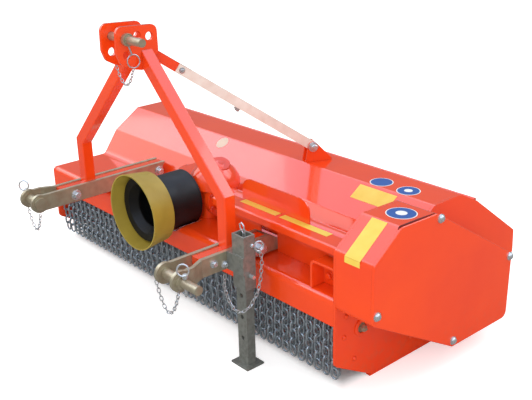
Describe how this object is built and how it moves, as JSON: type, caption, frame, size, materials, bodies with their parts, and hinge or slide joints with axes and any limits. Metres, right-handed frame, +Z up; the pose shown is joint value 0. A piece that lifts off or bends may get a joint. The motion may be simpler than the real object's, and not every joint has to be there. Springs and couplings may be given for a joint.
{
  "type": "tractor flail mulcher",
  "caption": "Tractor-mounted flail mulcher: red hood over a rotor, belt drive at one end, three-point hitch frame, chain curtain, rear roller and parking stand.",
  "frame": {"origin": "middle of the outline on the ground that the skids, roller and parking stand rest on", "axes": "+X along the rotor towards the belt drive, +Y away from the tractor, +Z up"},
  "size_m": [1.718, 1.142, 0.9668],
  "materials": {
    "red_paint": "gloss",
    "yellow_zinc": "satin",
    "galvanised": "satin",
    "dark_steel": "satin",
    "ground_steel": "satin",
    "black_plastic": "matte",
    "yellow_plastic": "matte"
  },
  "bodies": {
    "frame": {"hood_shell": "red_paint", "side_plate_left": "red_paint", "side_plate_right": "red_paint", "skid_left": "red_paint", "skid_right": "red_paint", "belt_box": "red_paint", "belt_cover": "red_paint", "bonnet_hinge": "red_paint", "hinge_rod": "yellow_zinc", "rotor_bearing_left": "red_paint", "rotor_bearing_right": "red_paint", "roller_bracket_left": "red_paint", "roller_bracket_right": "red_paint", "hitch_beam_left": "red_paint", "hitch_beam_right": "red_paint", "arm_left_inner": "yellow_zinc", "arm_left_outer": "yellow_zinc", "arm_right_inner": "yellow_zinc", "arm_right_outer": "yellow_zinc", "lower_pin_left": "yellow_zinc", "lower_pin_right": "yellow_zinc", "mast_left": "red_paint", "mast_right": "red_paint", "head_plate_left": "red_paint", "head_plate_right": "red_paint", "top_link_pin": "yellow_zinc", "head_spacer": "red_paint", "brace_lug": "red_paint", "brace_bars": "yellow_zinc", "brace_ears": "red_paint", "brace_bolt": "yellow_zinc", "stand_sleeve": "galvanised", "gearbox": "red_paint", "drive_tube": "red_paint", "drive_cover": "red_paint", "pto_guard_tube": "black_plastic", "pto_guard_plate": "black_plastic", "pto_guard_ring": "yellow_plastic", "chain_rod_front": "dark_steel", "chain_rod_rear": "dark_steel", "chain_row_front": "dark_steel", "chain_row_rear": "dark_steel", "deck_end_box": "red_paint"},
    "rotor": {"rotor": "red_paint", "flails": "dark_steel"},
    "roller": {"roller": "red_paint"},
    "bonnet": {"rear_bonnet": "red_paint"},
    "stand": {"parking_stand": "galvanised"},
    "input_shaft": {"pto_shaft": "ground_steel"}
  },
  "joints": [
    {"name": "rotor_spin", "type": "hinge", "parent": "frame", "child": "rotor", "pos_m": [-0.05, 0.215, 0.2], "axis": [1, 0, 0], "continuous": true},
    {"name": "roller_spin", "type": "hinge", "parent": "frame", "child": "roller", "pos_m": [-0.05, 0.489, 0.07], "axis": [1, 0, 0], "continuous": true},
    {"name": "input_spin", "type": "hinge", "parent": "frame", "child": "input_shaft", "pos_m": [-0.05, -0.271, 0.368], "axis": [0, 1, 0], "continuous": true},
    {"name": "bonnet_lift", "type": "hinge", "parent": "frame", "child": "bonnet", "pos_m": [-0.05, 0.349, 0.417], "axis": [1, 0, 0], "range_deg": [0, 75]},
    {"name": "stand_slide", "type": "slide", "parent": "frame", "child": "stand", "axis": [0, 0, 1], "range_m": [0, 0.24]}
  ],
  "couplings": [
    {"joint": "input_spin", "follows": "rotor_spin", "ratio": 0.27}
  ]
}
